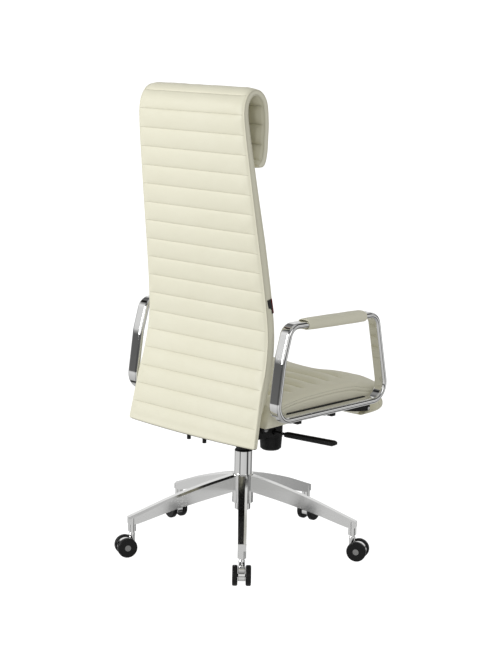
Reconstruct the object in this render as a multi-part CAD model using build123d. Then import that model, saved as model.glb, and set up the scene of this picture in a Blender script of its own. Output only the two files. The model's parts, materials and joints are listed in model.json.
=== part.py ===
"""Swivel office chair: a tall channelled back that rolls over into a headrest, chrome loop arms,
a sprung tilt mechanism, a gas lift and a five-leg base on twin-wheel casters.

Millimetres, +Z up, floor at z = 0, column axis through the origin. The chair faces -Y, so the
sitter's right is -X."""
import os
from math import atan2, cos, degrees, radians, sin

from build123d import *

# Base: star, column and casters
LEG_COUNT = 5
FIRST_LEG_DEG = 134
LEG_TIP_R = 330
LEG_ROOT_WIDTH = 27
LEG_TIP_WIDTH = 22
LEG_TOP = [(18, 214), (64, 202), (110, 189.5), (158, 174.5), (206, 158.5), (254, 140),
           (LEG_TIP_R, 110)]
LEG_BOTTOM = [(306, 91), (254, 107), (206, 122), (158, 134.5), (110, 146.5), (61, 157.5), (18, 167)]
LEG_WALL = 5
HUB_R = 29.5
HUB_TOP_Z = 214
HUB_BOTTOM_Z = 131
STEM_R = 5.5
CASTER_R = 319.5
SOCKET_R = 11.5
SOCKET_Z = 70
RUNNING_GAP = 0.05

# Gas lift
COLUMN_R = 25
COLUMN_TOP_Z = 279
COLUMN_TAPER_Z = 206
COLUMN_FOOT_R = 22
COLUMN_FOOT_Z = 111
COLUMN_WALL = 2
ROD_R = 5
GAS_SPRING_R = 14
GAS_SPRING_BOTTOM_Z = 125
GAS_SPRING_TOP_Z = 338
VALVE_R = 4.5
VALVE_TOP_Z = 346

# Caster, in its own frame: stem on the z axis, wheel trailing along +x, axle along y
WHEEL_R = 27.5
WHEEL_INNER_Y = 10.5
WHEEL_OUTER_Y = 25
CASTER_TRAIL = 17
DRUM_R = 24
DRUM_HALF = 9.8
AXLE_R = 4
CAP_R = 8.5

# Mechanism
HOUSING_HALF = 50
HOUSING_FLOOR_Z = 316
HOUSING_FRONT_Y = -97
HOUSING_REAR_Y = 60
SHEET = 3
CUP_RIM_Z = 355
BOSS_R = 21
BOSS_BOTTOM_Z = 284
TILT_Y = -30
TILT_Z = 345
TILT_PIN_R = 6
KNOB_Y = -111
KNOB_R = 32
KNOB_BOTTOM_Z = 263
KNOB_TOP_Z = 299
LEVER_Y = -70
LEVER_Z = 329.5
LEVER_ROD_R = 4
GRIP_LENGTH = 184
GRIP_RISE_DEG = 2.5

# Seat
SEAT_HALF = 245
SEAT_BOTTOM_Z = 411
PLATE_Z = 406
PLATE_THICK = 4
BAR_WIDTH = 30
BAR_THICK = 6
BAR_X = 30
PAN_THICK = 12

# Back: rear face in the middle plane, from the bottom edge up and over the headrest roll
BACK_REAR = [(211.5, 357), (184, 488), (158, 610), (155, 665), (161, 740), (171, 819),
             (190, 950), (208, 1080), (221, 1182), (224, 1228)]
ROLL_CENTRE_Y = 177
ROLL_HALF = 47
ROLL_TOP_Z = 1290
FLAP = [(131, 1205), (134, 1165), (140, 1120), (150, 1096), (166, 1086)]
BACK_THICK = 30
BACK_SKIRT_THICK = 10
FLAP_THICK = 18
BACK_BOTTOM_HALF = 241
BACK_CORNER_Z = 361
BACK_MIDDLE_Z = 356.5
BACK_CORNER_R = 8
BACK_TOP_HALF = 190
LAYER_POINTS = 28
ROLL_START = 0.785
CORE_START = 0.25
CORE_END = 0.5
GLUE_LINE = 0.012
BAR_DEPTH = 14.5

# Arms
ARM_X = 272
TUBE_WIDTH = 38
TUBE_THICK = 16
TUBE_WALL = 2
ARM_TOP_REAR = (125, 683)
ARM_TOP_FRONT = (-219, 676.5)
ARM_BOTTOM_Z = 435.5
PAD_FRONT_Y = -170
PAD_REAR_Y = 65
ARM_SPLIT_Y = -40
BRACKET_FOOT_Z = 407
BRACKET_FOOT_THICK = 3
BRACKET_FEET_Y = (-89, 48)
BRACKET_FOOT_HALF = 8
BOLT_X = 215


def side_face(edges):
    """A face drawn in side view: first coordinate along Y, second along Z."""
    return Plane.YZ * make_face(edges)


def side_solid(points, x_low, x_high):
    """A polygon in side view, extruded from x_low to x_high."""
    face = Plane.YZ.offset(x_low) * make_face(Polyline(*points, close=True))
    return extrude(face, amount=x_high - x_low)


def block(x_low, x_high, y_low, y_high, z_low, z_high):
    """A box from its lowest to its highest corner."""
    size = (x_high - x_low, y_high - y_low, z_high - z_low)
    return Pos(x_low, y_low, z_low) * Box(*size, align=Align.MIN)


def upright(radius, z_low, z_high, x=0, y=0):
    """A vertical cylinder."""
    bottom = (Align.CENTER, Align.CENTER, Align.MIN)
    return Pos(x, y, z_low) * Cylinder(radius, z_high - z_low, align=bottom)


def crossways(radius, x_low, x_high, y, z):
    """A cylinder along X."""
    centre = Pos((x_low + x_high) / 2, y, z)
    return centre * Rot(0, 90, 0) * Cylinder(radius, x_high - x_low)


def turned(points):
    """A solid of revolution about Z from its (radius, z) outline."""
    return revolve(Plane.XZ * make_face(Polyline(*points, close=True)), Axis.Z)


# ---- base ----------------------------------------------------------------------------------

def leg():
    """One die-cast leg along +X: arched, tapered, with bevelled top edges and a hollow belly."""
    tip_bottom_z = LEG_BOTTOM[0][1]
    outline = [Spline(*LEG_TOP), Line(LEG_TOP[-1], (LEG_TIP_R, tip_bottom_z)),
               Line((LEG_TIP_R, tip_bottom_z), LEG_BOTTOM[0]), Spline(*LEG_BOTTOM),
               Line(LEG_BOTTOM[-1], LEG_TOP[0])]
    blank = extrude(Plane.XZ * make_face(outline), amount=LEG_ROOT_WIDTH, both=True)
    plan = Polyline((0, -LEG_ROOT_WIDTH / 2), (LEG_TIP_R + 1, -LEG_TIP_WIDTH / 2),
                    (LEG_TIP_R + 1, LEG_TIP_WIDTH / 2), (0, LEG_ROOT_WIDTH / 2), close=True)
    body = blank & extrude(make_face(plan), amount=HUB_TOP_Z)
    top = body.faces().filter_by(lambda face: face.normal_at().Z > 0.5).sort_by(SortBy.AREA)[-1]
    rails = [edge for edge in top.edges() if edge.length > LEG_TIP_R / 2]
    body = chamfer(rails, length=7, length2=5, reference=top)
    belly_top = [(radius, height - 2 * LEG_WALL) for radius, height in LEG_TOP[1:-1]]
    belly = [Spline(*belly_top), Line(belly_top[-1], (belly_top[-1][0], 60)),
             Line((belly_top[-1][0], 60), (belly_top[0][0], 60)),
             Line((belly_top[0][0], 60), belly_top[0])]
    return body - extrude(Plane.XZ * make_face(belly), amount=LEG_TIP_WIDTH / 2 - LEG_WALL, both=True)


def leg_angles():
    return [FIRST_LEG_DEG + index * 360 / LEG_COUNT for index in range(LEG_COUNT)]


def star_base():
    """Hub with a tapered bore for the column, five legs, and a stem socket under each tip."""
    hub = turned([(COLUMN_R, HUB_TOP_Z), (HUB_R - 1, HUB_TOP_Z), (HUB_R, HUB_TOP_Z - 1),
                  (HUB_R, HUB_BOTTOM_Z), (column_taper_r(HUB_BOTTOM_Z), HUB_BOTTOM_Z),
                  (COLUMN_R, COLUMN_TAPER_Z)])
    bore = turned([(0, HUB_TOP_Z + 1), (COLUMN_R, HUB_TOP_Z + 1), (COLUMN_R, COLUMN_TAPER_Z),
                   (column_taper_r(HUB_BOTTOM_Z), HUB_BOTTOM_Z), (0, HUB_BOTTOM_Z)])
    socket = upright(SOCKET_R, SOCKET_Z, 108, CASTER_R) & block(0, LEG_TIP_R, -15, 15, 0, 120)
    stem_hole = upright(STEM_R + RUNNING_GAP, SOCKET_Z, 98, CASTER_R)
    limb = leg() + socket - stem_hole
    star = hub
    for angle in leg_angles():
        star += Rot(0, 0, angle) * limb
    return star - bore


def column_taper_r(height):
    """Outer radius of the column's tapered foot at a height."""
    slope = 1.8 / (COLUMN_TAPER_Z - HUB_BOTTOM_Z)
    return COLUMN_R - slope * (COLUMN_TAPER_Z - height)


def column_tube():
    """Outer tube of the gas lift: straight, then tapered into the hub, with a closed foot."""
    hub_r = column_taper_r(HUB_BOTTOM_Z)
    bore_r = COLUMN_R - COLUMN_WALL
    return turned([(bore_r, COLUMN_TOP_Z), (COLUMN_R, COLUMN_TOP_Z), (COLUMN_R, COLUMN_TAPER_Z),
                   (hub_r, HUB_BOTTOM_Z), (COLUMN_FOOT_R, HUB_BOTTOM_Z - 2),
                   (COLUMN_FOOT_R, COLUMN_FOOT_Z), (ROD_R + 1, COLUMN_FOOT_Z),
                   (ROD_R + 1, COLUMN_FOOT_Z + 5), (COLUMN_FOOT_R - COLUMN_WALL, COLUMN_FOOT_Z + 5),
                   (COLUMN_FOOT_R - COLUMN_WALL, HUB_BOTTOM_Z - 2),
                   (hub_r - COLUMN_WALL, HUB_BOTTOM_Z), (bore_r, COLUMN_TAPER_Z)])


def guide_bush():
    """Plastic sleeve that guides the gas spring in the column, with a rim on the column's top."""
    inner = GAS_SPRING_R + RUNNING_GAP
    sleeve_r = COLUMN_R - COLUMN_WALL
    return turned([(inner, COLUMN_TAPER_Z), (sleeve_r, COLUMN_TAPER_Z), (sleeve_r, COLUMN_TOP_Z),
                   (COLUMN_R, COLUMN_TOP_Z), (COLUMN_R - 1, COLUMN_TOP_Z + 2.5),
                   (inner, COLUMN_TOP_Z + 2.5)])


def piston_rod():
    return upright(ROD_R, COLUMN_FOOT_Z - 6, 270)


def thrust_bearing():
    ring_z = COLUMN_FOOT_Z + 5 + RUNNING_GAP
    return upright(14, ring_z, ring_z + 5) - upright(ROD_R, ring_z, ring_z + 5)


def retaining_clip():
    clip_z = COLUMN_FOOT_Z - 4
    return upright(9.5, clip_z, clip_z + 3.5) - upright(ROD_R, clip_z, clip_z + 3.5)


# ---- casters -------------------------------------------------------------------------------

def axle_cylinder(radius, y_low, y_high):
    """A cylinder on the caster's axle line."""
    centre = Pos(CASTER_TRAIL, (y_low + y_high) / 2, WHEEL_R)
    return centre * Rot(90, 0, 0) * Cylinder(radius, y_high - y_low)


def caster_body():
    """Stem, collar and the bright drum that carries the axle between the wheels."""
    drum = axle_cylinder(DRUM_R, -DRUM_HALF, DRUM_HALF)
    drum = fillet(drum.edges().filter_by(GeomType.CIRCLE), 2)
    drum -= block(-40, 60, -20, 20, 0, 19)
    neck = upright(8.5, 36, 58)
    collar = turned([(0, 57), (9, 57), (9, 62), (7, 66), (7, SOCKET_Z - 0.5), (0, SOCKET_Z - 0.5)])
    stem = upright(STEM_R, SOCKET_Z - 1, 96)
    bore = axle_cylinder(AXLE_R, -DRUM_HALF - 1, DRUM_HALF + 1)
    return drum + neck + collar + stem - bore


def caster_axle():
    """Steel axle with a round cap sunk in each wheel's face."""
    axle = axle_cylinder(AXLE_R, -WHEEL_OUTER_Y + 0.5, WHEEL_OUTER_Y - 0.5)
    for side in (-1, 1):
        faces = sorted((side * (WHEEL_OUTER_Y - 2.7), side * (WHEEL_OUTER_Y - 0.3)))
        axle += axle_cylinder(CAP_R, *faces)
    return axle


def caster_wheel(side):
    """One wheel of a pair, with a crowned tread and a sinking for the cap."""
    near, far = sorted((side * WHEEL_INNER_Y, side * WHEEL_OUTER_Y))
    wheel = axle_cylinder(WHEEL_R, near, far)
    wheel = fillet(wheel.edges().filter_by(GeomType.CIRCLE), 4)
    bore = axle_cylinder(AXLE_R + RUNNING_GAP, near - 1, far + 1)
    sinking = sorted((side * (WHEEL_OUTER_Y - 3), side * (WHEEL_OUTER_Y + 1)))
    return wheel - bore - axle_cylinder(CAP_R + 0.5, *sinking)


def placed_casters():
    """Nodes of the five casters, each trailing straight outwards from its leg."""
    nodes = {}
    for number, angle in enumerate(leg_angles(), start=1):
        place = Rot(0, 0, angle) * Pos(CASTER_R, 0, 0)
        nodes[f"caster_body_{number}"] = place * caster_body()
        nodes[f"caster_axle_{number}"] = place * caster_axle()
        nodes[f"caster_wheel_{number}_a"] = place * caster_wheel(-1)
        nodes[f"caster_wheel_{number}_b"] = place * caster_wheel(1)
    return nodes


# ---- mechanism -----------------------------------------------------------------------------

def gas_spring():
    """Inner cylinder of the gas lift: slides over the rod, its top wedged in the mechanism."""
    body = upright(GAS_SPRING_R, GAS_SPRING_BOTTOM_Z, GAS_SPRING_TOP_Z)
    rod_bore = upright(ROD_R + RUNNING_GAP, GAS_SPRING_BOTTOM_Z, 276)
    valve_bore = upright(VALVE_R + RUNNING_GAP, 322, GAS_SPRING_TOP_Z)
    return body - rod_bore - valve_bore


def valve_button():
    return upright(VALVE_R, 329, VALVE_TOP_Z)


def mechanism_housing():
    """Pressed-steel trough with the gas-spring socket, the tension-spring cup and pin holes."""
    outer = side_solid([(HOUSING_FRONT_Y, HOUSING_FLOOR_Z), (HOUSING_REAR_Y, HOUSING_FLOOR_Z),
                        (HOUSING_REAR_Y, 352), (TILT_Y, 366), (HOUSING_FRONT_Y + 15, 370),
                        (HOUSING_FRONT_Y, CUP_RIM_Z)], -HOUSING_HALF, HOUSING_HALF)
    inner = block(-HOUSING_HALF + SHEET, HOUSING_HALF - SHEET, HOUSING_FRONT_Y + SHEET,
                  HOUSING_REAR_Y - SHEET, HOUSING_FLOOR_Z + SHEET, 400)
    boss = upright(BOSS_R, BOSS_BOTTOM_Z, HOUSING_FLOOR_Z + 14)
    cup_z = KNOB_TOP_Z + 1
    cup = upright(KNOB_R + 1, cup_z, CUP_RIM_Z, 0, KNOB_Y)
    cup_inside = upright(KNOB_R + 1 - SHEET, cup_z + SHEET, 400, 0, KNOB_Y)
    screw_hole = upright(6.5, cup_z - 1, cup_z + SHEET + 1, 0, KNOB_Y)
    trough = outer + boss + cup - inner - cup_inside - screw_hole
    socket = upright(GAS_SPRING_R, BOSS_BOTTOM_Z - 1, 340)
    pin_hole = crossways(TILT_PIN_R, -HOUSING_HALF - 1, HOUSING_HALF + 1, TILT_Y, TILT_Z)
    lever_slot = crossways(9, -HOUSING_HALF - 1, -HOUSING_HALF + SHEET + 1, LEVER_Y, LEVER_Z)
    return trough - socket - pin_hole - lever_slot


def tilt_pins():
    """Two headed pivot pins, one through each wall of the trough."""
    pins = []
    for side in (-1, 1):
        shank = sorted((side * 42, side * 54.2))
        head = sorted((side * 54.2, side * 58))
        pin = crossways(TILT_PIN_R, *shank, TILT_Y, TILT_Z)
        pins.append(pin + crossways(9, *head, TILT_Y, TILT_Z))
    return Compound(children=pins)


def tension_screw():
    """Threaded rod of the tilt spring, fixed in the cup and carrying the knob."""
    shank = upright(6, KNOB_BOTTOM_Z + 14, 345, 0, KNOB_Y)
    return shank + upright(14, 345, 349, 0, KNOB_Y)


def tension_spring():
    """Coil spring around the tension screw, inside the cup."""
    pitch = 9
    coil = Helix(pitch=pitch, height=4 * pitch, radius=18, center=(0, KNOB_Y, KNOB_TOP_Z + 7.5))
    section = Plane(origin=coil @ 0, z_dir=coil % 0) * Circle(3)
    return sweep(section, path=coil, is_frenet=True)


def tension_knob():
    """Big round knob that sets the tilt force, with grip flutes."""
    knob = turned([(0, KNOB_BOTTOM_Z), (KNOB_R - 8, KNOB_BOTTOM_Z), (KNOB_R - 2, KNOB_BOTTOM_Z + 5),
                   (KNOB_R, KNOB_TOP_Z), (0, KNOB_TOP_Z)])
    knob = Pos(0, KNOB_Y, 0) * knob
    flute_count = 12
    for index in range(flute_count):
        angle = radians(index * 360 / flute_count)
        flute_x = (KNOB_R + 3) * cos(angle)
        flute_y = KNOB_Y + (KNOB_R + 3) * sin(angle)
        knob -= upright(4.2, KNOB_BOTTOM_Z, KNOB_TOP_Z - 6, flute_x, flute_y)
    return knob - upright(6 + RUNNING_GAP, KNOB_BOTTOM_Z + 13, KNOB_TOP_Z, 0, KNOB_Y)


def lever_arm():
    """Fulcrum bush of the height lever, with the crank that reaches over the valve button."""
    bush = crossways(5.5, -58, -6, LEVER_Y, LEVER_Z)
    rise_z = VALVE_TOP_Z + 0.8
    crank = side_solid([(LEVER_Y - 5, LEVER_Z - 3), (LEVER_Y + 5, LEVER_Z - 3),
                        (LEVER_Y + 16, rise_z), (7, rise_z), (7, rise_z + 5),
                        (LEVER_Y + 10, rise_z + 5)], -6, 6)
    bore = crossways(LEVER_ROD_R + RUNNING_GAP, -59, -8, LEVER_Y, LEVER_Z)
    return bush + crank - bore


def grip_frame():
    """Frame at the grip's inner end, its x axis along the grip towards the sitter's right."""
    return Pos(-92, LEVER_Y, LEVER_Z) * Rot(0, GRIP_RISE_DEG, 0) * Rot(0, 0, 180)


def lever_rod():
    """Round rod that slides in the bush and runs into the grip."""
    straight = crossways(LEVER_ROD_R, -92, -24, LEVER_Y, LEVER_Z)
    inside = grip_frame() * Pos(20, 0, 0) * Rot(0, 90, 0) * Cylinder(LEVER_ROD_R, 40)
    elbow = Pos(-92, LEVER_Y, LEVER_Z) * Sphere(LEVER_ROD_R)
    return straight + inside + elbow


def lever_grip():
    """Flat plastic paddle with a narrowed neck and a rounded end."""
    neck_length = 10
    outline = Polyline((0, -6), (neck_length, -8), (GRIP_LENGTH - 12, -8.5), (GRIP_LENGTH, -3),
                       (GRIP_LENGTH, 4), (GRIP_LENGTH - 7, 8.5), (neck_length, 8), (0, 6),
                       close=True)
    paddle = extrude(Plane.XZ * make_face(outline), amount=7, both=True)
    long_edges = paddle.edges().filter_by(lambda edge: edge.length > GRIP_LENGTH / 2)
    paddle = fillet(long_edges, 5)
    return grip_frame() * Pos(2, 0, 0) * paddle - lever_rod()


# ---- seat ----------------------------------------------------------------------------------

def seat_plate():
    """Tilting top plate of the mechanism with two ears that hang on the pivot pins."""
    plate = block(-85, 85, -130, 58, PLATE_Z, PLATE_Z + PLATE_THICK)
    plate = fillet(plate.edges().filter_by(Axis.Z), 15)
    for side in (-1, 1):
        ear_x = sorted((side * (HOUSING_HALF + 0.6), side * (HOUSING_HALF + 0.6 + SHEET)))
        ear = side_solid([(TILT_Y - 13, TILT_Z - 6), (TILT_Y - 6, TILT_Z - 13),
                          (TILT_Y + 6, TILT_Z - 13), (TILT_Y + 13, TILT_Z - 6),
                          (TILT_Y + 35, PLATE_Z), (TILT_Y - 35, PLATE_Z)], *ear_x)
        plate += ear - crossways(TILT_PIN_R + RUNNING_GAP, *ear_x, TILT_Y, TILT_Z)
    return plate


def plate_bolts():
    """Four bolts through the plate into the seat pan."""
    bolts = []
    for x in (-72, 72):
        for y in (-115, 42):
            shank = upright(3, PLATE_Z, SEAT_BOTTOM_Z + 8, x, y)
            bolts.append(shank + upright(6.5, PLATE_Z - 4, PLATE_Z, x, y))
    return Compound(children=bolts)


def back_bars():
    """Two flat steel bars, welded under the plate, that bend up inside the back."""
    rise = BAR_DEPTH / cos(radians(12))
    bend_z = PLATE_Z - BAR_THICK / 2
    bend_y = rear_y(bend_z) - rise
    top_z = 600
    line = FilletPolyline((-20, bend_z), (bend_y, bend_z), (rear_y(top_z) - rise, top_z), radius=18)
    bars = []
    for side in (-1, 1):
        path = Plane.YZ.offset(side * BAR_X) * line
        start = Plane(origin=path @ 0, x_dir=(1, 0, 0), z_dir=path % 0)
        bars.append(sweep(start * Rectangle(BAR_WIDTH, BAR_THICK), path=path))
    return Compound(children=bars)


def rear_y(height):
    """Rear face of the back below the lumbar bend, where it is straight."""
    (low_y, low_z), (high_y, high_z) = BACK_REAR[0], BACK_REAR[2]
    return low_y + (high_y - low_y) * (height - low_z) / (high_z - low_z)


def seat_pan():
    """Plywood board under the cushion, bored for the bolts."""
    pan_z = SEAT_BOTTOM_Z + 1
    board = block(-222, 222, -290, 150, pan_z, pan_z + PAN_THICK)
    return fillet(board.edges().filter_by(Axis.Z), 45)


def dust_cover():
    """Thin black cloth under the rear part of the seat."""
    sheet = block(-200, 200, -135, 150, SEAT_BOTTOM_Z - 1, SEAT_BOTTOM_Z)
    return fillet(sheet.edges().filter_by(Axis.Z), 25)


def seat_cushion():
    """Cushion with a rolled front that drops below the pan."""
    rear_top = (153, 485)
    outline = [Line((168, SEAT_BOTTOM_Z), (-140, SEAT_BOTTOM_Z)),
               Spline((-140, SEAT_BOTTOM_Z), (-180, 398), (-225, 386), (-280, 384), (-318, 396),
                      (-334, 418), (-324, 446), (-292, 478), (-248, 497), (-190, 505),
                      (-100, 502), (0, 494), (100, 487), rear_top, tangents=[(-1, 0), (1, 0)]),
               Line(rear_top, (168, SEAT_BOTTOM_Z))]
    profile = extrude(side_face(outline), amount=SEAT_HALF, both=True)
    plan_face = Pos(0, -83) * RectangleRounded(2 * SEAT_HALF, 502, 30)
    plan = Pos(0, 0, 380) * extrude(plan_face, amount=130)
    front_face = Pos(0, 440) * RectangleRounded(2 * SEAT_HALF, 130, 28)
    front = extrude(Plane.XZ * front_face, amount=400, both=True)
    return profile & plan & front


# ---- back ----------------------------------------------------------------------------------

def back_path():
    """Outer line of the back in side view: up the rear face, over the roll, down the flap."""
    crown = [(ROLL_CENTRE_Y + ROLL_HALF * cos(radians(angle)),
              BACK_REAR[-1][1] + (ROLL_TOP_Z - BACK_REAR[-1][1]) * sin(radians(angle)))
             for angle in range(30, 180, 30)]
    return Spline(*BACK_REAR, *crown, *FLAP)


def thickness(share):
    """Thickness of the upholstered back at a share of the path's length."""
    blend = min(max((share - 0.45) / 0.3, 0), 1)
    rise = min(max((share - 0.06) / 0.1, 0), 1)
    rise = rise * rise * (3 - 2 * rise)
    lower = BACK_SKIRT_THICK + (BACK_THICK - BACK_SKIRT_THICK) * rise
    return lower + (FLAP_THICK - BACK_THICK) * blend


def back_layer(start, end, outer, inner):
    """Slice of the back between two shares of its path and two shares of its thickness."""
    path = back_path()
    lines = []
    for depth in (outer, inner):
        points = []
        for index in range(LAYER_POINTS + 1):
            share = start + (end - start) * index / LAYER_POINTS
            place, along = path @ share, path % share
            inset = depth * thickness(share)
            points.append((place.X - along.Y * inset, place.Y + along.X * inset))
        lines.append(points)
    face = side_face([Spline(*lines[0]), Line(lines[0][-1], lines[1][-1]), Spline(*lines[1]),
                      Line(lines[1][0], lines[0][0])])
    slab = extrude(face, amount=BACK_BOTTOM_HALF + 5, both=True)
    return slab & front_outline()


def front_outline():
    """Prism of the back's front view: a tall taper on a slightly bowed lower edge."""
    top_z = ROLL_TOP_Z + 10
    left, right = (-BACK_BOTTOM_HALF, BACK_CORNER_Z), (BACK_BOTTOM_HALF, BACK_CORNER_Z)
    outline = [ThreePointArc(left, (0, BACK_MIDDLE_Z), right),
               Polyline(right, (BACK_TOP_HALF, top_z), (-BACK_TOP_HALF, top_z), left)]
    face = make_face(outline)
    face = fillet(face.vertices().sort_by(Axis.Y)[:2], BACK_CORNER_R)
    return extrude(Plane.XZ.offset(-260) * face, amount=190)


def back_rear_pad():
    return back_layer(0, ROLL_START, 0, CORE_START - GLUE_LINE)


def back_core():
    return back_layer(0.01, ROLL_START, CORE_START, CORE_END)


def back_front_pad():
    return back_layer(0.004, ROLL_START, CORE_END + GLUE_LINE, 1) - back_bars()


def headrest_core():
    return back_layer(ROLL_START, 0.985, 0.3, 0.65)


def headrest_roll():
    return back_layer(ROLL_START, 1, 0, 1) - headrest_core()


def back_glides():
    """Two short black studs that hang from the bends of the back bars."""
    studs = []
    for side in (-1, 1):
        studs.append(upright(5.5, 337, PLATE_Z, side * BAR_X, 184))
    return Compound(children=studs)


def side_tag():
    """Small folded cloth tag sewn in the back's side seam on the sitter's right."""
    return Pos(-222.8, 140, 730) * Rot(-12.5, 0, 0) * Box(1.2, 18, 40)


# ---- arms ----------------------------------------------------------------------------------

def arm_top_z(y):
    """Height of the upper bar's centre line, which falls a little towards the front."""
    (rear_y, rear_z), (front_y, front_z) = ARM_TOP_REAR, ARM_TOP_FRONT
    return rear_z + (front_z - rear_z) * (rear_y - y) / (rear_y - front_y)


def arm_halves(side):
    """Rear and front halves of an arm loop's centre line; the rear post bows backwards."""
    split_top = (ARM_SPLIT_Y, arm_top_z(ARM_SPLIT_Y))
    rear = FilletPolyline((ARM_SPLIT_Y, ARM_BOTTOM_Z), (174, ARM_BOTTOM_Z), (150, 600),
                          ARM_TOP_REAR, split_top, radius=[42, 160, 32])
    front = FilletPolyline(split_top, ARM_TOP_FRONT, (-271, ARM_BOTTOM_Z),
                           (ARM_SPLIT_Y, ARM_BOTTOM_Z), radius=[34, 47])
    plane = Plane.YZ.offset(side * ARM_X)
    return [plane * rear, plane * front]


def arm_sweep(side, width, thick):
    """Solid flat-oval bar of the given section along the whole loop."""
    halves = []
    for path in arm_halves(side):
        start = Plane(origin=path @ 0, x_dir=(1, 0, 0), z_dir=path % 0)
        halves.append(sweep(start * SlotOverall(width, thick), path=path))
    return halves[0] + halves[1]


def arm_tube(side):
    """Bent flat-oval steel tube, welded into a closed loop."""
    inside = arm_sweep(side, TUBE_WIDTH - 2 * TUBE_WALL, TUBE_THICK - 2 * TUBE_WALL)
    return arm_sweep(side, TUBE_WIDTH, TUBE_THICK) - inside


def arm_pad(side):
    """Leather sleeve around the upper bar, open at both ends."""
    middle_y = (PAD_REAR_Y + PAD_FRONT_Y) / 2
    fall = degrees(atan2(ARM_TOP_REAR[1] - ARM_TOP_FRONT[1], ARM_TOP_REAR[0] - ARM_TOP_FRONT[0]))
    centre = Pos(side * ARM_X, middle_y, arm_top_z(middle_y)) * Rot(90 + fall, 0, 0)
    half_length = (PAD_REAR_Y - PAD_FRONT_Y) / 2
    sleeve = centre * extrude(RectangleRounded(46, 31, 13), amount=half_length, both=True)
    return sleeve - arm_sweep(side, TUBE_WIDTH, TUBE_THICK)


def arm_bracket(side):
    """Black bar along the loop's inner side, a plate beside the cushion and two feet under it."""
    near, far = SEAT_HALF + 1, SEAT_HALF + 6
    rail_top = ARM_BOTTOM_Z + 9
    bracket = side_block(side, near, ARM_X - TUBE_WIDTH / 2 + 4, -213, 98, rail_top - 15, rail_top)
    plate = side_solid([(-242, 399.5), (-226, 399.5), (-200, 402.5), (-167, 408), (-136, 414),
                        (-112, 420), (-89, 420), (-89, rail_top - 5), (-242, rail_top - 5)],
                       *sorted((side * near, side * far)))
    bracket += fillet(plate.edges().filter_by(Axis.X).sort_by(Axis.Y)[0:2], 4)
    for foot_y in BRACKET_FEET_Y:
        low_y, high_y = foot_y - BRACKET_FOOT_HALF, foot_y + BRACKET_FOOT_HALF
        bracket += side_block(side, near, far, low_y, high_y, BRACKET_FOOT_Z, ARM_BOTTOM_Z)
        bracket += side_block(side, BOLT_X - 14, far, low_y, high_y, BRACKET_FOOT_Z,
                              BRACKET_FOOT_Z + BRACKET_FOOT_THICK)
    return bracket - arm_sweep(side, TUBE_WIDTH, TUBE_THICK)


def side_block(side, near, far, y_low, y_high, z_low, z_high):
    """A box between two distances from the middle plane, on one side of the chair."""
    x_low, x_high = sorted((side * near, side * far))
    return block(x_low, x_high, y_low, y_high, z_low, z_high)


def bracket_bolts(side):
    """Bolts through a bracket's feet into the seat pan, and one through the plate's front end."""
    bolts = []
    for y in BRACKET_FEET_Y:
        shank = upright(4, BRACKET_FOOT_Z, SEAT_BOTTOM_Z + 8, side * BOLT_X, y)
        bolts.append(shank + upright(7, BRACKET_FOOT_Z - 4, BRACKET_FOOT_Z, side * BOLT_X, y))
    shank = crossways(3, *sorted((side * (SEAT_HALF + 2), side * (SEAT_HALF + 6))), -235, 406)
    head = crossways(4.5, *sorted((side * (SEAT_HALF + 6), side * (SEAT_HALF + 8.5))), -235, 406)
    return Compound(children=bolts + [shank + head])


# ---- assembly ------------------------------------------------------------------------------

def bored(shape, *fasteners):
    """The shape with clearance-free holes where fasteners pass through it."""
    for fastener in fasteners:
        shape -= fastener
    return shape


def all_nodes():
    nodes = {"star_base": star_base(), "column_tube": column_tube(), "guide_bush": guide_bush(),
             "piston_rod": piston_rod(), "thrust_bearing": thrust_bearing(),
             "retaining_clip": retaining_clip(), "gas_spring": gas_spring(),
             "valve_button": valve_button(), "mechanism_housing": mechanism_housing(),
             "tilt_pins": tilt_pins(), "tension_screw": tension_screw(),
             "tension_spring": tension_spring(), "tension_knob": tension_knob(),
             "lever_arm": lever_arm(), "lever_rod": lever_rod(), "lever_grip": lever_grip(),
             "plate_bolts": plate_bolts(), "back_glides": back_glides(),
             "back_rear_pad": back_rear_pad(), "back_front_pad": back_front_pad(),
             "headrest_core": headrest_core(), "headrest_roll": headrest_roll(),
             "side_tag": side_tag()}
    nodes.update(placed_casters())
    for name, side in (("right", -1), ("left", 1)):
        nodes[f"arm_tube_{name}"] = arm_tube(side)
        nodes[f"arm_pad_{name}"] = arm_pad(side)
        nodes[f"arm_bracket_{name}"] = bored(arm_bracket(side), bracket_bolts(side))
        nodes[f"bracket_bolts_{name}"] = bracket_bolts(side)
    fasteners = (plate_bolts(), bracket_bolts(-1), bracket_bolts(1))
    nodes["seat_plate"] = bored(seat_plate(), plate_bolts())
    nodes["back_bars"] = bored(back_bars(), back_glides())
    nodes["seat_pan"] = bored(seat_pan(), *fasteners)
    nodes["dust_cover"] = bored(dust_cover(), plate_bolts())
    nodes["seat_cushion"] = bored(seat_cushion(), seat_pan(), *fasteners)
    nodes["back_core"] = bored(back_core(), back_bars())
    return nodes


os.makedirs("parts", exist_ok=True)
for node, shape in all_nodes().items():
    export_step(shape, f"parts/{node}.step")
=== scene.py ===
"""Swivel office chair: upholstery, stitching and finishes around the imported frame.

Metres. The chair faces -Y, the sitter's right is -X, the floor is z = 0."""
import json
import math

import bmesh
import bpy
import numpy as np
from mathutils import Matrix, Vector


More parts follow.
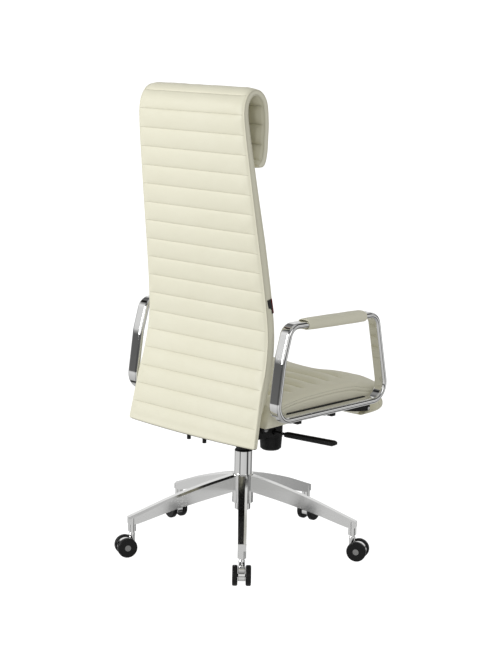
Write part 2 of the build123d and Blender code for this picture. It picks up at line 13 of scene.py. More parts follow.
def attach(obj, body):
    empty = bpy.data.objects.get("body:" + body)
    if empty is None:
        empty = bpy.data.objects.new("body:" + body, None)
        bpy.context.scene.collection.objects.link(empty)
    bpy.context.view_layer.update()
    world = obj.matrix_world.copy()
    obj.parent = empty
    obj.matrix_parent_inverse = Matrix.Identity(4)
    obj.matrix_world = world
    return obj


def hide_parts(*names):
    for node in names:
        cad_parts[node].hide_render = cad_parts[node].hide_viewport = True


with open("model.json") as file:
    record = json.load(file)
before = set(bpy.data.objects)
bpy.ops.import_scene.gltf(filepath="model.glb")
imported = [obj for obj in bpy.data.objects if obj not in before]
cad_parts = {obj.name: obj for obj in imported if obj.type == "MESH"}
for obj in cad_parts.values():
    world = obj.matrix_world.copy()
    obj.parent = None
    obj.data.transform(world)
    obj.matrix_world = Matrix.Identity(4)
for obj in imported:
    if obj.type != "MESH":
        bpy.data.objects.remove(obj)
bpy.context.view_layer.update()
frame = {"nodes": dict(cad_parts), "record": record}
NODES = frame["nodes"]

# Back: outer line in side view (y, z), from the lower edge over the roll to the flap's tip
BACK_REAR = [(0.2115, 0.357), (0.184, 0.488), (0.158, 0.610), (0.155, 0.665), (0.161, 0.740),
             (0.171, 0.819), (0.190, 0.950), (0.208, 1.080), (0.221, 1.182), (0.224, 1.228)]
ROLL_CENTRE_Y = 0.177
ROLL_HALF = 0.047
ROLL_TOP_Z = 1.290
FLAP = [(0.131, 1.205), (0.134, 1.165), (0.140, 1.120), (0.150, 1.096), (0.166, 1.086)]
BACK_THICK = 0.030
BACK_SKIRT_THICK = 0.010
FLAP_THICK = 0.018
BACK_LOW_Z = 0.361
BACK_TOP_Z = 1.300
BACK_LOW_HALF = 0.241
BACK_TOP_HALF = 0.190
BACK_CORNER = 0.008
BACK_EDGE_BOW = 0.0045

# Seat: top line and underside in side view, from the rear to the rolled front
SEAT_TOP = [(0.153, 0.482), (0.100, 0.487), (0.0, 0.494), (-0.100, 0.500), (-0.190, 0.503),
            (-0.215, 0.499), (-0.258, 0.491), (-0.289, 0.481), (-0.316, 0.467), (-0.330, 0.448),
            (-0.334, 0.418), (-0.318, 0.396), (-0.280, 0.384), (-0.225, 0.386)]
SEAT_UNDER = [(0.168, 0.411), (-0.140, 0.411), (-0.180, 0.398), (-0.215, 0.388)]
SEAT_HALF = 0.245
SEAT_FRONT_CORNER = 0.045
SEAT_REAR_CORNER = 0.030

CHANNEL = 0.0513
BACK_SEAM_Z = 0.614
STITCH_PITCH = 0.0052
THREAD_RADIUS = 0.00045
THREAD_LENGTH = 0.0038

# Label on the back's right side seam
LABEL_CENTRE = (-0.2228, 0.140, 0.730)
LABEL_TILT_DEG = -12.5
LABEL_HALF = (0.0007, 0.009, 0.020)
LABEL_RED_WIDTH = 0.0044

# Arms: the upper bar drops to the front; the sleeve follows it
ARM_X = 0.272
ARM_SLOPE = 6.5 / 344
SLEEVE_CENTRE = (-0.0525, 0.67965)
SLEEVE_REACH = 0.1175
TUBE_HALF = (0.0192, 0.0082)


# ---- curves and closed skins ---------------------------------------------------------------

def smooth_line(points, count=600):
    """Even points along a centripetal curve through the given (y, z) points."""
    knots = np.array(points, float)
    ends = np.vstack([2 * knots[0] - knots[1], knots, 2 * knots[-1] - knots[-2]])
    fine = []
    for before, start, end, after in zip(ends, ends[1:], ends[2:], ends[3:]):
        t0 = 0.0
        t1 = t0 + np.linalg.norm(start - before) ** 0.5
        t2 = t1 + np.linalg.norm(end - start) ** 0.5
        t3 = t2 + np.linalg.norm(after - end) ** 0.5
        for t in np.linspace(t1, t2, 40, endpoint=False):
            a1 = before + (start - before) * (t - t0) / (t1 - t0)
            a2 = start + (end - start) * (t - t1) / (t2 - t1)
            a3 = end + (after - end) * (t - t2) / (t3 - t2)
            b1 = a1 + (a2 - a1) * (t - t0) / (t2 - t0)
            b2 = a2 + (a3 - a2) * (t - t1) / (t3 - t1)
            fine.append(b1 + (b2 - b1) * (t - t1) / (t2 - t1))
    fine.append(knots[-1])
    fine = np.array(fine)
    along = np.concatenate([[0], np.cumsum(np.linalg.norm(np.diff(fine, axis=0), axis=1))])
    even = np.linspace(0, along[-1], count)
    line = np.stack([np.interp(even, along, fine[:, axis]) for axis in (0, 1)], axis=1)
    return even, line


def on_line(even, line, where):
    """Points and unit tangents of a line at the given lengths."""
    points = np.stack([np.interp(where, even, line[:, axis]) for axis in (0, 1)], axis=1)
    slopes = np.gradient(line, even, axis=0)
    tangents = np.stack([np.interp(where, even, slopes[:, axis]) for axis in (0, 1)], axis=1)
    return points, tangents / np.linalg.norm(tangents, axis=1)[:, None]


def smoothstep(low, high, value):
    share = np.clip((value - low) / (high - low), 0, 1)
    return share * share * (3 - 2 * share)


def channel_stations(length, first, pitch):
    """Lengths along a line, gathered closely around each channel seam."""
    within = np.array([0, 0.018, 0.045, 0.09, 0.16, 0.26, 0.38, 0.5, 0.62, 0.74, 0.84, 0.91,
                       0.955, 0.982])
    starts = np.arange(first - pitch, length + pitch, pitch)
    stations = (starts[:, None] + within[None, :] * pitch).ravel()
    ends = np.array([0, 0.0015, 0.004, 0.008, 0.014])
    stations = np.concatenate([stations, ends, length - ends])
    stations = np.unique(np.round(stations[(stations >= 0) & (stations <= length)], 5))
    keep = np.concatenate([[True], np.diff(stations) > 0.0004])
    return stations[keep]


def rib_profile(length, first, pitch):
    """Height of a channelled skin, 0 in the seams and 1 on the crowns."""
    share = np.mod((length - first) / pitch, 1.0)
    crown = 1 - np.abs(2 * share - 1) ** 2.3
    nearest = np.minimum(share, 1 - share) * pitch
    return crown - 0.22 * np.exp(-(nearest / 0.0016) ** 2)


def columns(count):
    """Positions from -1 to 1 across a face, closer together at the edges."""
    even = np.linspace(-1, 1, count)
    return np.sign(even) * (1 - (1 - np.abs(even)) ** 1.15)


def wrinkles(x, s, seed):
    """Soft unevenness of stretched leather: a few crossed waves with fixed phases."""
    random = np.random.default_rng(seed)
    total = np.zeros(np.broadcast(x, s).shape)
    for _ in range(9):
        kx, ks = random.uniform(20, 95, 2)
        phase = random.uniform(0, 2 * math.pi, 2)
        total += np.sin(kx * x + phase[0] + 1.3 * np.sin(ks * s)) * np.sin(ks * s + phase[1])
    return total / 9


def new_piece(name, points, faces, material, smooth=True):
    """A linked object with a closed mesh, its faces turned outward."""
    mesh = bpy.data.meshes.new(name)
    mesh.from_pydata(points, [], faces)
    shape = bmesh.new()
    shape.from_mesh(mesh)
    bmesh.ops.recalc_face_normals(shape, faces=shape.faces)
    shape.to_mesh(mesh)
    shape.free()
    mesh.polygons.foreach_set("use_smooth", [smooth] * len(mesh.polygons))
    mesh.materials.append(material)
    piece = bpy.data.objects.new(name, mesh)
    bpy.context.scene.collection.objects.link(piece)
    return piece


def closed_skin(name, rings, across):
    """A closed quad mesh through rings of points; both ends are closed column by column."""
    count, around, _ = rings.shape
    faces = []
    for row in range(count - 1):
        for step in range(around):
            after = (step + 1) % around
            faces.append((row * around + step, row * around + after,
                          (row + 1) * around + after, (row + 1) * around + step))
    band = (around - 2 * across) // 2
    for base in (0, (count - 1) * around):
        upper = [base + step for step in range(across)]
        lower = [base + across + band + step for step in range(across)][::-1]
        for step in range(across - 1):
            faces.append((upper[step], upper[step + 1], lower[step + 1], lower[step]))
        faces.append([base + across - 1 + step for step in range(band + 2)])
        faces.append([base + (2 * across + band - 1 + step) % around for step in range(band + 2)])
    return new_piece(name, rings.reshape(-1, 3).tolist(), faces, LEATHER)


# ---- materials -----------------------------------------------------------------------------

class Recipe:
    """A material under construction: node helpers around one Principled BSDF."""

    def __init__(self, name, **constants):
        self.material = bpy.data.materials.new(name)
        self.material.use_nodes = True
        self.tree = self.material.node_tree
        self.tree.nodes.clear()
        self.out = self.tree.nodes.new("ShaderNodeOutputMaterial")
        self.shader = self.tree.nodes.new("ShaderNodeBsdfPrincipled")
        self.tree.links.new(self.shader.outputs[0], self.out.inputs["Surface"])
        self.place = self.tree.nodes.new("ShaderNodeTexCoord").outputs["Object"]
        for socket, value in constants.items():
            self.shader.inputs[socket.replace("_", " ")].default_value = value

    def node(self, kind, settings=None, **values):
        item = self.tree.nodes.new(kind)
        for key, value in (settings or {}).items():
            setattr(item, key, value)
        for socket, value in values.items():
            self.feed(item.inputs[socket.replace("_", " ")], value)
        return item

    def feed(self, socket, value):
        if isinstance(value, bpy.types.NodeSocket):
            self.tree.links.new(value, socket)
        else:
            socket.default_value = value

    def set(self, **values):
        for socket, value in values.items():
            self.feed(self.shader.inputs[socket.replace("_", " ")], value)

    def noise(self, scale, detail=3.0, rough=0.5, stretch=None):
        place = self.place
        if stretch:
            place = self.node("ShaderNodeMapping", Vector=self.place, Scale=stretch).outputs[0]
        made = self.node("ShaderNodeTexNoise", Vector=place, Scale=scale, Detail=detail,
                         Roughness=rough)
        return made.outputs["Fac"]

    def ramp(self, value, low, high, to_low, to_high):
        made = self.node("ShaderNodeMapRange", {"interpolation_type": "SMOOTHSTEP"}, Value=value)
        for socket, number in zip(("From Min", "From Max", "To Min", "To Max"),
                                  (low, high, to_low, to_high)):
            made.inputs[socket].default_value = number
        return made.outputs["Result"]

    def blend(self, share, first, second):
        made = self.node("ShaderNodeMix", {"data_type": "RGBA"})
        self.feed(made.inputs["Factor"], share)
        self.feed(made.inputs[6], first)
        self.feed(made.inputs[7], second)
        return made.outputs[2]

    def bump(self, height, strength, distance, normal=None):
        made = self.node("ShaderNodeBump", Height=height, Strength=strength, Distance=distance)
        if normal is not None:
            self.feed(made.inputs["Normal"], normal)
        return made.outputs["Normal"]

    def group(self, tree, **values):
        made = self.tree.nodes.new("ShaderNodeGroup")
        made.node_tree = tree
        self.feed(made.inputs["Place"], self.place)
        for socket, value in values.items():
            self.feed(made.inputs[socket.replace("_", " ")], value)
        return made


def effect_group(name, inputs, outputs):
    """An empty shader group with named value inputs and a place vector."""
    tree = bpy.data.node_groups.new(name, "ShaderNodeTree")
    tree.interface.new_socket("Place", in_out="INPUT", socket_type="NodeSocketVector")
    for label, value in inputs.items():
        socket = tree.interface.new_socket(label, in_out="INPUT", socket_type="NodeSocketFloat")
        socket.default_value = value
    for label, kind in outputs.items():
        tree.interface.new_socket(label, in_out="OUTPUT", socket_type=kind)
    return tree, tree.nodes.new("NodeGroupInput"), tree.nodes.new("NodeGroupOutput")


def grain_group():
    """Leather or plastic grain: cells and fine noise as one height, and a pore mask."""
    tree, entry, exit_ = effect_group("surface_grain", {"Cells": 900.0, "Fine": 2500.0},
                                      {"Height": "NodeSocketFloat", "Pores": "NodeSocketFloat"})
    link = tree.links.new
    warp = tree.nodes.new("ShaderNodeTexNoise")
    warp.inputs["Scale"].default_value = 160
    link(entry.outputs["Place"], warp.inputs["Vector"])
    shift = tree.nodes.new("ShaderNodeVectorMath")
    shift.operation = "MULTIPLY_ADD"
    shift.inputs[1].default_value = (0.0012, 0.0012, 0.0012)
    link(warp.outputs["Color"], shift.inputs[0])
    link(entry.outputs["Place"], shift.inputs[2])
    cells = tree.nodes.new("ShaderNodeTexVoronoi")
    cells.feature = "DISTANCE_TO_EDGE"
    link(shift.outputs[0], cells.inputs["Vector"])
    link(entry.outputs["Cells"], cells.inputs["Scale"])
    crease = tree.nodes.new("ShaderNodeMapRange")
    crease.interpolation_type = "SMOOTHSTEP"
    crease.inputs["From Max"].default_value = 0.28
    link(cells.outputs["Distance"], crease.inputs["Value"])
    fine = tree.nodes.new("ShaderNodeTexNoise")
    link(entry.outputs["Place"], fine.inputs["Vector"])
    link(entry.outputs["Fine"], fine.inputs["Scale"])
    total = tree.nodes.new("ShaderNodeMath")
    total.operation = "MULTIPLY_ADD"
    total.inputs[1].default_value = 0.35
    link(fine.outputs["Fac"], total.inputs[0])
    link(crease.outputs["Result"], total.inputs[2])
    link(total.outputs[0], exit_.inputs["Height"])
    link(crease.outputs["Result"], exit_.inputs["Pores"])
    return tree


def smudge_group():
    """Handling marks on a bright surface: cloudy patches crossed by fine wipe lines."""
    tree, entry, exit_ = effect_group("handling_marks", {"Amount": 0.1},
                                      {"Marks": "NodeSocketFloat"})
    link = tree.links.new
    clouds = tree.nodes.new("ShaderNodeTexNoise")
    clouds.inputs["Scale"].default_value = 22
    clouds.inputs["Detail"].default_value = 5
    link(entry.outputs["Place"], clouds.inputs["Vector"])
    stretch = tree.nodes.new("ShaderNodeMapping")
    stretch.inputs["Scale"].default_value = (260, 40, 420)
    stretch.inputs["Rotation"].default_value = (0.3, 0.5, 0.2)
    link(entry.outputs["Place"], stretch.inputs["Vector"])
    lines = tree.nodes.new("ShaderNodeTexNoise")
    lines.inputs["Scale"].default_value = 1
    link(stretch.outputs[0], lines.inputs["Vector"])
    both = tree.nodes.new("ShaderNodeMath")
    both.operation = "MULTIPLY"
    link(clouds.outputs["Fac"], both.inputs[0])
    link(lines.outputs["Fac"], both.inputs[1])
    scaled = tree.nodes.new("ShaderNodeMath")
    scaled.operation = "MULTIPLY"
    link(both.outputs[0], scaled.inputs[0])
    link(entry.outputs["Amount"], scaled.inputs[1])
    link(scaled.outputs[0], exit_.inputs["Marks"])
    return tree


GRAIN = grain_group()
SMUDGES = smudge_group()


def cream_leather():
    recipe = Recipe("cream_leather", Coat_Weight=0.05, Coat_Roughness=0.35, Specular_IOR_Level=0.38)
    grain = recipe.group(GRAIN, Cells=820.0, Fine=2600.0)
    patches = recipe.noise(5.0, 4.0)
    tone = recipe.blend(patches, (0.790, 0.765, 0.600, 1), (0.850, 0.830, 0.680, 1))
    creased = recipe.blend(recipe.ramp(grain.outputs["Pores"], 0.0, 0.5, 0.10, 0.0), tone,
                           (0.50, 0.45, 0.32, 1))
    recipe.set(Base_Color=creased, Roughness=recipe.ramp(recipe.noise(34.0), 0.3, 0.7, 0.44, 0.56))
    soft = recipe.bump(recipe.noise(60.0, 4.0), 0.12, 0.0015)
    recipe.set(Normal=recipe.bump(grain.outputs["Height"], 0.14, 0.00030, soft))
    return recipe.material


def chrome():
    recipe = Recipe("mirror_chrome", Metallic=1.0)
    marks = recipe.group(SMUDGES, Amount=0.12).outputs["Marks"]
    tone = recipe.blend(recipe.noise(3.0), (0.80, 0.80, 0.79, 1), (0.86, 0.86, 0.85, 1))
    recipe.set(Base_Color=tone, Roughness=recipe.ramp(marks, 0.0, 0.1, 0.03, 0.08))
    recipe.set(Normal=recipe.bump(recipe.noise(18.0, 2.0), 0.02, 0.0006))
    return recipe.material


def polished_casting():
    recipe = Recipe("polished_casting", Metallic=1.0)
    marks = recipe.group(SMUDGES, Amount=0.2).outputs["Marks"]
    tone = recipe.blend(recipe.noise(7.0), (0.80, 0.80, 0.79, 1), (0.85, 0.85, 0.84, 1))
    recipe.set(Base_Color=tone, Roughness=recipe.ramp(marks, 0.0, 0.18, 0.16, 0.24))
    recipe.set(Normal=recipe.bump(recipe.noise(14.0, 2.0), 0.04, 0.0015))
    return recipe.material


def brushed_metal():
    recipe = Recipe("zinc_plate", Metallic=1.0)
    marks = recipe.group(SMUDGES, Amount=0.5).outputs["Marks"]
    tone = recipe.blend(recipe.noise(60.0), (0.55, 0.55, 0.56, 1), (0.66, 0.66, 0.64, 1))
    recipe.set(Base_Color=tone, Roughness=recipe.ramp(marks, 0.0, 0.3, 0.24, 0.42))
    recipe.set(Normal=recipe.bump(recipe.noise(1500.0, 2.0), 0.08, 0.0002))
    return recipe.material


def black_finish(name, tone, rough, cells, strength):
    """Dark moulded or powder-coated surface with its own grain."""
    recipe = Recipe(name, Specular_IOR_Level=0.30)
    grain = recipe.group(GRAIN, Cells=cells, Fine=cells * 2.5)
    dust = recipe.ramp(recipe.noise(9.0, 6.0), 0.5, 0.8, 0.0, 0.20)
    dark = (tone, tone, tone * 1.02, 1)
    lighter = (tone * 1.8, tone * 1.78, tone * 1.75, 1)
    recipe.set(Base_Color=recipe.blend(dust, dark, lighter),
               Roughness=recipe.ramp(recipe.noise(45.0), 0.3, 0.7, rough - 0.06, rough + 0.08))
    recipe.set(Normal=recipe.bump(grain.outputs["Height"], strength, 0.0003))
    return recipe.material


def grey_cap():
    recipe = Recipe("grey_cap", Specular_IOR_Level=0.5)
    grain = recipe.group(GRAIN, Cells=2400.0, Fine=5000.0)
    tone = recipe.blend(recipe.noise(80.0), (0.21, 0.21, 0.21, 1), (0.27, 0.27, 0.26, 1))
    recipe.set(Base_Color=tone, Roughness=recipe.ramp(recipe.noise(60.0), 0.3, 0.7, 0.30, 0.42))
    recipe.set(Normal=recipe.bump(grain.outputs["Height"], 0.05, 0.0002))
    return recipe.material


def plywood():
    recipe = Recipe("plywood")
    rings = recipe.noise(14.0, 6.0, stretch=(1, 12, 12))
    tone = recipe.blend(rings, (0.42, 0.28, 0.15, 1), (0.62, 0.46, 0.28, 1))
    recipe.set(Base_Color=tone, Roughness=recipe.ramp(rings, 0.3, 0.7, 0.6, 0.75))
    recipe.set(Normal=recipe.bump(rings, 0.15, 0.0006))
    return recipe.material


def black_cloth():
    recipe = Recipe("black_cloth", Specular_IOR_Level=0.2, Sheen_Weight=0.2)
    top = recipe.node("ShaderNodeMath", {"operation": "MAXIMUM"})
    for index, direction in enumerate(("X", "Y")):
        bands = recipe.node("ShaderNodeTexWave", {"bands_direction": direction},
                            Vector=recipe.place, Scale=320.0)
        recipe.feed(top.inputs[index], bands.outputs["Fac"])
    tone = recipe.blend(top.outputs[0], (0.010, 0.010, 0.011, 1), (0.045, 0.045, 0.046, 1))
    recipe.set(Base_Color=tone, Roughness=recipe.ramp(recipe.noise(50.0), 0.3, 0.7, 0.8, 0.92))
    recipe.set(Normal=recipe.bump(top.outputs[0], 0.4, 0.0004))
    return recipe.material


def tag_cloth():
    """Folded label: black weave with a dark red leading edge."""
    recipe = Recipe("tag_cloth", Specular_IOR_Level=0.2)
    rows = recipe.node("ShaderNodeTexWave", {"bands_direction": "Z"}, Vector=recipe.place, Scale=260.0)
    weave = recipe.blend(rows.outputs["Fac"], (0.020, 0.020, 0.021, 1), (0.060, 0.058, 0.056, 1))
    split = recipe.node("ShaderNodeSeparateXYZ", Vector=recipe.place)
    lean = recipe.node("ShaderNodeMath", {"operation": "MULTIPLY_ADD"})
    recipe.feed(lean.inputs[0], split.outputs["Z"])
    lean.inputs[1].default_value = math.tan(math.radians(LABEL_TILT_DEG))
    recipe.feed(lean.inputs[2], split.outputs["Y"])
    level = LABEL_CENTRE[1] + LABEL_CENTRE[2] * math.tan(math.radians(LABEL_TILT_DEG))
    front = level - LABEL_HALF[1] + LABEL_RED_WIDTH
    edge = recipe.ramp(lean.outputs[0], front - 0.0006, front, 1.0, 0.0)
    recipe.set(Base_Color=recipe.blend(edge, weave, (0.16, 0.012, 0.014, 1)),
               Roughness=recipe.ramp(rows.outputs["Fac"], 0.0, 1.0, 0.75, 0.9))
    recipe.set(Normal=recipe.bump(rows.outputs["Fac"], 0.3, 0.0003))
    return recipe.material


def painted_edge_shade():
    """Near-black strip along the back's lower edge: painted shade for the shadow gap under that edge."""
    recipe = Recipe("painted_edge_shade", Specular_IOR_Level=0.2)
    rows = recipe.noise(700.0, 3.0)
    recipe.set(Base_Color=recipe.blend(rows, (0.05, 0.045, 0.035, 1), (0.10, 0.09, 0.07, 1)),
               Roughness=recipe.ramp(rows, 0.3, 0.7, 0.8, 0.92))
    recipe.set(Normal=recipe.bump(rows, 0.3, 0.0003))
    return recipe.material


def thread():
    recipe = Recipe("seam_shaded_thread", Specular_IOR_Level=0.35)
    twist = recipe.noise(1800.0, 2.0, stretch=(1, 2.5, 1))
    # Thread tone far darker than the leather: partly the thread's own colour, partly painted shade for the
    # seam grooves
    tone = recipe.blend(twist, (0.36, 0.34, 0.26, 1), (0.48, 0.455, 0.36, 1))
    recipe.set(Base_Color=tone, Roughness=recipe.ramp(twist, 0.3, 0.7, 0.5, 0.65))
    recipe.set(Normal=recipe.bump(twist, 0.3, 0.0002))
    return recipe.material


LEATHER = cream_leather()
SEAM_SHADE_THREAD = thread()
LABEL = tag_cloth()
EDGE_SHADE = painted_edge_shade()
FINISHES = {
    "cast_aluminium": polished_casting(),
    "chrome_steel": chrome(),
    "black_plastic": black_finish("black_moulding", 0.006, 0.42, 1500.0, 0.18),
    "bright_steel": brushed_metal(),
    "black_steel": black_finish("black_powder_coat", 0.007, 0.50, 900.0, 0.25),
    "black_rubber": black_finish("black_rubber", 0.008, 0.62, 1200.0, 0.15),
    "plywood": plywood(),
    "cream_leather": LEATHER,
    "black_cloth": black_cloth(),
    "grey_plastic": grey_cap(),
    "wheel_plastic": black_finish("wheel_moulding", 0.005, 0.36, 2000.0, 0.10),
}


def finish_frame_nodes():
    """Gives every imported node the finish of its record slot."""
    for part in frame["record"]["subparts"]:
        holder = NODES[part["node"]]
        for slot in holder.material_slots:
            slot.material = FINISHES[part["material_slot"]]


# ---- back and headrest ---------------------------------------------------------------------

def back_line():
    crown = []
    rise = ROLL_TOP_Z - BACK_REAR[-1][1]
    for angle in range(30, 180, 30):
        turn = math.radians(angle)
        crown.append((ROLL_CENTRE_Y + ROLL_HALF * math.cos(turn),
                      BACK_REAR[-1][1] + rise * math.sin(turn)))
    return smooth_line(BACK_REAR + crown + FLAP, 1200)


def back_half_width(height):
    """Half width of the back at a height, with its rounded lower corners."""
    half = np.interp(height, [BACK_LOW_Z, BACK_TOP_Z], [BACK_LOW_HALF, BACK_TOP_HALF])
    above = np.clip(height - BACK_REAR[0][1], 0, BACK_CORNER)
    return half - (BACK_CORNER - np.sqrt(BACK_CORNER ** 2 - (BACK_CORNER - above) ** 2))


def back_upholstery():
    """One wrapped skin: channelled rear face, side bands with seams, channelled front face."""
    even, line = back_line()
    length = even[-1]
    rear = line[:, 1] < BACK_REAR[-1][1]
    rear &= even < length * 0.6
    first = float(np.interp(BACK_SEAM_Z, line[rear, 1], even[rear])) % CHANNEL
    where = channel_stations(length, first, CHANNEL)
    points, along = on_line(even, line, where)
    inward = np.stack([-along[:, 1], along[:, 0]], axis=1)
    share = where / length
    blend = np.clip((share - 0.45) / 0.3, 0, 1)
    lower = BACK_SKIRT_THICK + (BACK_THICK - BACK_SKIRT_THICK) * smoothstep(0.06, 0.16, share)
    thick = lower + (FLAP_THICK - BACK_THICK) * blend
    ends = np.minimum(smoothstep(-0.003, 0.006, where), smoothstep(-0.004, 0.010, length - where))
    half = back_half_width(points[:, 1])
    across = columns(105)
    band = 13
    lumbar = 0.010 * np.exp(-((points[:, 1] - 0.62) / 0.13) ** 2) * (share < 0.6)
    rings, seam_rows = [], []
    for row in range(len(where)):
        x = across * half[row]
        from_edge = half[row] - np.abs(x)
        rise = smoothstep(0.0, 0.028, from_edge)
        skirt = 1 - smoothstep(0.11, 0.18, share[row])
        roll_off = -0.0030 * (1 - smoothstep(0.0, 0.008, from_edge)) * (1 - skirt)
        seam = rib_profile(where[row], first, CHANNEL) if where[row] > 0.02 else 0.6
        pucker = 0.0011 * wrinkles(x * 1.6, where[row], 3) * rise
        outer = (0.0034 * seam * rise + pucker + roll_off + 0.0018 * skirt) * ends[row]
        inner = (0.0060 * seam * rise + lumbar[row] * rise + roll_off
                 + 0.0010 * wrinkles(x * 1.4, where[row], 8) * rise) * ends[row]
        deep = thick[row] * (0.35 + 0.65 * ends[row])
        centre = points[row] + inward[row] * thick[row] / 2
        outward = -inward[row]
        bow = np.zeros_like(x)
        if where[row] < 0.03:
            bow = BACK_EDGE_BOW * (np.abs(across) ** 2) * (1 - where[row] / 0.03)
        ring = [(px, *(centre + outward * (deep / 2 + lift) + along[row] * shift))
                for px, lift, shift in zip(x, outer, bow)]
        sides = []
        for step in range(1, band + 1):
            turn = step / (band + 1)
            depth = deep / 2 - deep * turn
            swell = 0.0022 * math.sin(math.pi * turn) ** 0.6
            welt = -0.0026 * (step in (3, band - 2))
            sides.append((half[row] + (swell + welt) * ends[row], depth))
        lift = along[row] * bow[0]
        ring += [(px, *(centre + outward * depth + lift)) for px, depth in sides]
        ring += [(px, *(centre - outward * (deep / 2 + rise_) + along[row] * shift))
                 for px, rise_, shift in zip(x[::-1], inner[::-1], bow[::-1])]
        ring += [(-px, *(centre + outward * depth + lift)) for px, depth in sides[::-1]]
        rings.append(ring)
        seam_rows.append([ring[len(across) + 2], ring[len(across) + band - 3],
                          ring[2 * len(across) + band + 2], ring[2 * len(across) + 2 * band - 3]])
    rings = np.array(rings)
    piece = closed_skin("back_upholstery", rings, len(across))
    # Second slot: the near-black strip of painted shade on the faces along the lower edge
    piece.data.materials.append(EDGE_SHADE)
    for face in piece.data.polygons:
        bow = BACK_EDGE_BOW * (face.center.x / BACK_LOW_HALF) ** 2
        face.material_index = 1 if face.center.z < BACK_REAR[0][1] + bow + 0.0022 else 0
    seams = [list(path) for path in np.array(seam_rows)[3:-3].transpose(1, 0, 2)]
    for seam_at in np.arange(first, length - 0.01, CHANNEL)[1 if first < 0.02 else 0:]:
        row = int(np.argmin(np.abs(where - seam_at)))
        seams.append(list(rings[row, 3:len(across) - 3]))
        seams.append(list(rings[row, len(across) + band + 3:2 * len(across) + band - 3]))
    return piece, seams


# ---- seat ----------------------------------------------------------------------------------

def seat_half_width(y):
    """Half width of the seat at a place front to back, with rounded corners in plan."""
    from_front = np.clip(y + 0.334, 0, SEAT_FRONT_CORNER)
    from_rear = np.clip(0.168 - y, 0, SEAT_REAR_CORNER)
    front_cut = SEAT_FRONT_CORNER - np.sqrt(SEAT_FRONT_CORNER ** 2 - (SEAT_FRONT_CORNER - from_front) ** 2)
    rear_cut = SEAT_REAR_CORNER - np.sqrt(SEAT_REAR_CORNER ** 2 - (SEAT_REAR_CORNER - from_rear) ** 2)
    return SEAT_HALF - 0.6 * front_cut - 0.5 * rear_cut


def seat_upholstery():
    """Cushion: channelled crown, sewn edge seam, smooth boxing sides and a rolled front."""
    even, line = smooth_line(SEAT_TOP, 900)
    length = even[-1]
    first = 0.012
    where = channel_stations(length, first, CHANNEL)
    points, along = on_line(even, line, where)
    outward = np.stack([along[:, 1], -along[:, 0]], axis=1)
    front_start = float(even[np.argmax(line[:, 0] < -0.200)])
    under_even, under = smooth_line(SEAT_UNDER, 300)
    half = seat_half_width(points[:, 0])
    across = columns(105)
    band = 19
    drop_at = np.array([0.168, 0.116, 0.062, 0.022, -0.099, -0.217, -0.265, -0.300, -0.334])
    drop_by = np.array([0.023, 0.019, 0.0145, 0.0134, 0.017, 0.0265, 0.027, 0.020, 0.010])
    drop = np.interp(-points[:, 0], -drop_at, drop_by)
    drop = np.where(where > length - 0.12, 0.006, drop)
    ribbed = 1 - 0.85 * smoothstep(front_start - 0.06, front_start + 0.06, where)
    ends = np.minimum(smoothstep(-0.004, 0.014, where), smoothstep(-0.004, 0.010, length - where))
    rings, seams = [], [[], [], [], []]
    for row in range(len(where)):
        if where[row] <= front_start:
            share = where[row] / front_start * 0.93
        else:
            share = 0.93 + 0.07 * (where[row] - front_start) / (length - front_start)
        low = np.array([np.interp(share * under_even[-1], under_even, under[:, axis]) for axis in (0, 1)])
        x = across * half[row]
        portion = np.abs(x) / half[row]
        from_edge = half[row] - np.abs(x)
        hollow = 0.010 * (1 - smoothstep(0.020, 0.190, np.abs(x))) * max(outward[row, 1], 0)
        crown = -drop[row] * portion ** 7 - hollow * smoothstep(0.140, 0.200, -points[row, 0])
        fade = 1 - smoothstep(0.170, 0.222, np.abs(x))
        seam = rib_profile(where[row], first, CHANNEL) - 0.80
        edge = -0.0030 * (1 - smoothstep(0.0, 0.007, from_edge))
        soft = 0.0014 * wrinkles(x, where[row], 5) * smoothstep(0.0, 0.03, from_edge)
        lift = (0.0140 * seam * fade * ribbed[row] + soft + edge) * ends[row] + crown
        top = [points[row] + outward[row] * value for value in lift]
        ring = [(px, *place) for px, place in zip(x, top)]
        corner = top[-1]
        sides = []
        for step in range(1, band + 1):
            turn = (step / (band + 1)) ** 1.15
            place = corner + (low - corner) * turn
            swell = 0.0040 * math.sin(math.pi * turn ** 0.6) ** 0.8 - 0.0026 * (step in (1, 4))
            swell -= 0.0012 * (step == 12)
            sides.append((half[row] + swell * ends[row] - 0.003 * turn ** 6, place))
        ring += [(px, *place) for px, place in sides]
        ring += [(px * 0.985, *low) for px in x[::-1]]
        ring += [(-px, *place) for px, place in sides[::-1]]
        rings.append(ring)
        for path, index in zip(seams, (len(across), len(across) + 3, -1, -4)):
            path.append(ring[index])
    rings = np.array(rings)
    piece = closed_skin("seat_upholstery", rings, len(across))
    seams = [path[3:-6] for path in seams]
    for seam_at in np.arange(first, front_start, CHANNEL):
        row = int(np.argmin(np.abs(where - seam_at)))
        inside = [point for point in rings[row, :len(across)] if abs(point[0]) < 0.205]
        seams.append(inside)
    return piece, seams


# ---- arm pads ------------------------------------------------------------------------------

